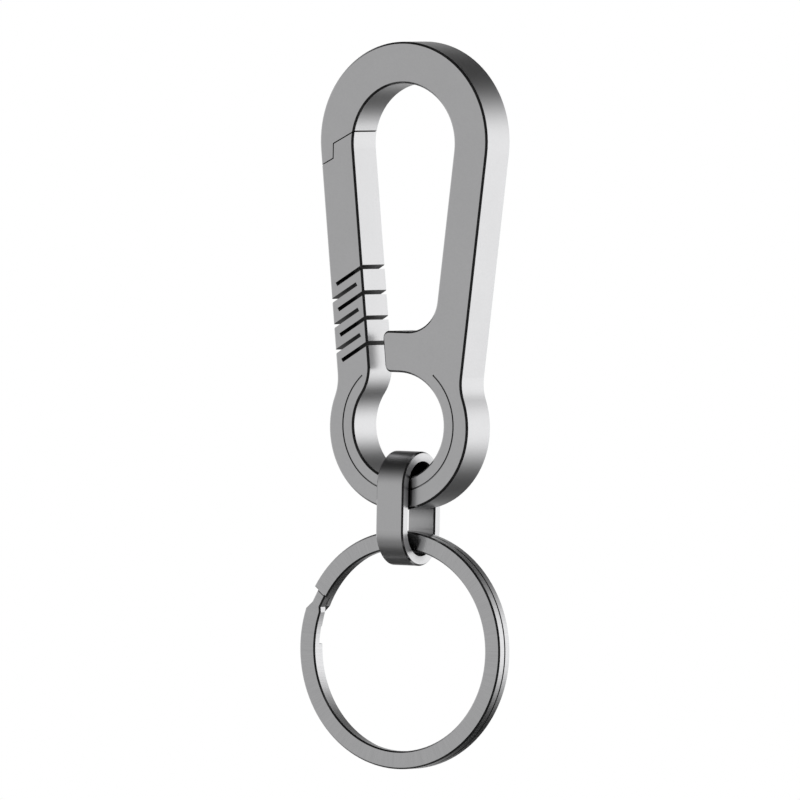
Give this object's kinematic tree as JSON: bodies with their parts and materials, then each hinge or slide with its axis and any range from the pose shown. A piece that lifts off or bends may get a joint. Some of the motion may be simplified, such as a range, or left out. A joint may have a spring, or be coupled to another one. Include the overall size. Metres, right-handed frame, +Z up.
{
  "type": "belt key clip",
  "caption": "Flat one-piece snap clip with a sprung serpentine gate leg, a round eye, a flat-band link and a split key ring.",
  "frame": {"origin": "centre of the round seat inside the hook, on the plate's mid-plane", "axes": "+Z up along the clip towards the crown, +Y out of the back of the plate, +X towards the solid leg opposite the gate"},
  "size_m": [0.0298, 0.0088, 0.0909],
  "materials": {
    "blasted_titanium": "fine bead-blasted titanium alloy, natural grey",
    "brushed_titanium": "finely brushed titanium alloy, natural grey"
  },
  "bodies": {
    "frame": {"clip_frame": "blasted_titanium", "gate_spring": "blasted_titanium"},
    "gate": {"gate_arm": "blasted_titanium"},
    "link": {"connecting_link": "blasted_titanium"},
    "ring": {"split_ring": "brushed_titanium"}
  },
  "joints": [
    {"name": "gate_flex", "type": "hinge", "parent": "frame", "child": "gate", "pos_m": [-0.00761, 0, -0.02177], "axis": [0, 1, 0], "range_deg": [0, 16], "stiffness_Nm_per_rad": 0.45, "deforming": ["gate_spring"]},
    {"name": "link_swing", "type": "hinge", "parent": "frame", "child": "link", "pos_m": [0, 0, -0.03525], "axis": [0, 1, 0], "range_deg": [-90, 90]},
    {"name": "ring_tip", "type": "hinge", "parent": "link", "child": "ring", "pos_m": [0, -0.00027, -0.04957], "axis": [1, 0, 0], "range_deg": [-120, 120]}
  ]
}
